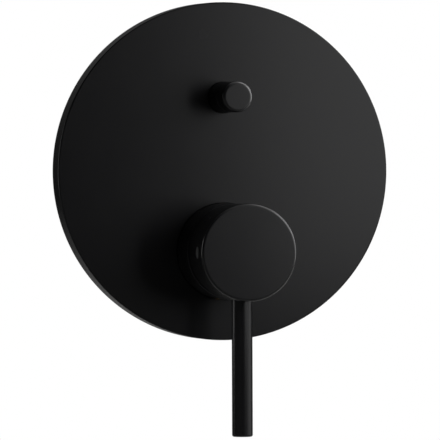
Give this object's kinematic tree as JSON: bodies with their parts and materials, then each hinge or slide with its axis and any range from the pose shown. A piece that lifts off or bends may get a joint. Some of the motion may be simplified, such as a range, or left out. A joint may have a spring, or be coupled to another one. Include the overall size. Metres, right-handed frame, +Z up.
{
  "type": "concealed bath shower mixer",
  "caption": "In-wall bath and shower mixer: round matte black cover plate, cylindrical handle with a slim pin lever that tilts and turns, and a small pull knob that diverts the water.",
  "frame": {"origin": "centre of the four fixing holes, on the rear plane of the lugs", "axes": "+Z up, the front faces -Y, so +Y points into the wall"},
  "size_m": [0.165, 0.127, 0.2105],
  "materials": {
    "matte_black": "matte powder coat",
    "cast_brass": "as cast, satin",
    "turned_brass": "turned",
    "rubber": "moulded",
    "foam": "closed-cell foam",
    "cartridge_plastic": "moulded",
    "disc_ceramic": "lapped",
    "stainless": "drawn",
    "fibre": "pressed",
    "plug_plastic": "moulded"
  },
  "bodies": {
    "mixer_body": {"cover_plate": "matte_black", "handle_sleeve": "matte_black", "diverter_collar": "matte_black", "valve_body": "cast_brass", "diverter_bonnet": "turned_brass", "cartridge_nut": "turned_brass", "sleeve_seal": "rubber", "collar_seal": "rubber", "sleeve_o_ring": "rubber", "base_seals": "rubber", "wall_gasket": "foam", "cartridge_housing": "cartridge_plastic", "cartridge_base": "cartridge_plastic", "fixed_disc": "disc_ceramic", "return_spring": "stainless", "bonnet_washer": "fibre"},
    "guide": {"turn_guide": "cartridge_plastic", "pivot_pin": "stainless"},
    "lever_handle": {"stem": "turned_brass", "handle": "matte_black", "lever": "matte_black", "handle_screw": "stainless", "screw_plug": "plug_plastic"},
    "disc_carriage": {"disc_carrier": "cartridge_plastic", "moving_disc": "disc_ceramic"},
    "diverter_rod": {"diverter_spindle": "matte_black", "spindle_seal": "rubber", "piston_disc": "turned_brass", "piston_washers": "rubber", "piston_nut": "turned_brass", "spring_clip": "stainless", "diverter_knob": "matte_black", "knob_screw": "stainless"}
  },
  "joints": [
    {"name": "mix_turn", "type": "hinge", "parent": "mixer_body", "child": "guide", "pos_m": [0, -0.082, -0.039], "axis": [0, 1, 0], "range_deg": [-50, 50]},
    {"name": "flow_tilt", "type": "hinge", "parent": "guide", "child": "lever_handle", "pos_m": [0, -0.082, -0.039], "axis": [-1, 0, 0], "range_deg": [0, 20]},
    {"name": "disc_slide", "type": "slide", "parent": "guide", "child": "disc_carriage", "axis": [0, 0, -1], "range_m": [0, 0.0044]},
    {"name": "diverter_pull", "type": "slide", "parent": "mixer_body", "child": "diverter_rod", "axis": [0, -1, 0], "range_m": [0, 0.0068], "stiffness_N_per_m": 300, "springref_m": -0.006, "deforming": ["return_spring"]}
  ],
  "couplings": [
    {"joint": "disc_slide", "follows": "flow_tilt", "m_per_rad": 0.012346}
  ]
}
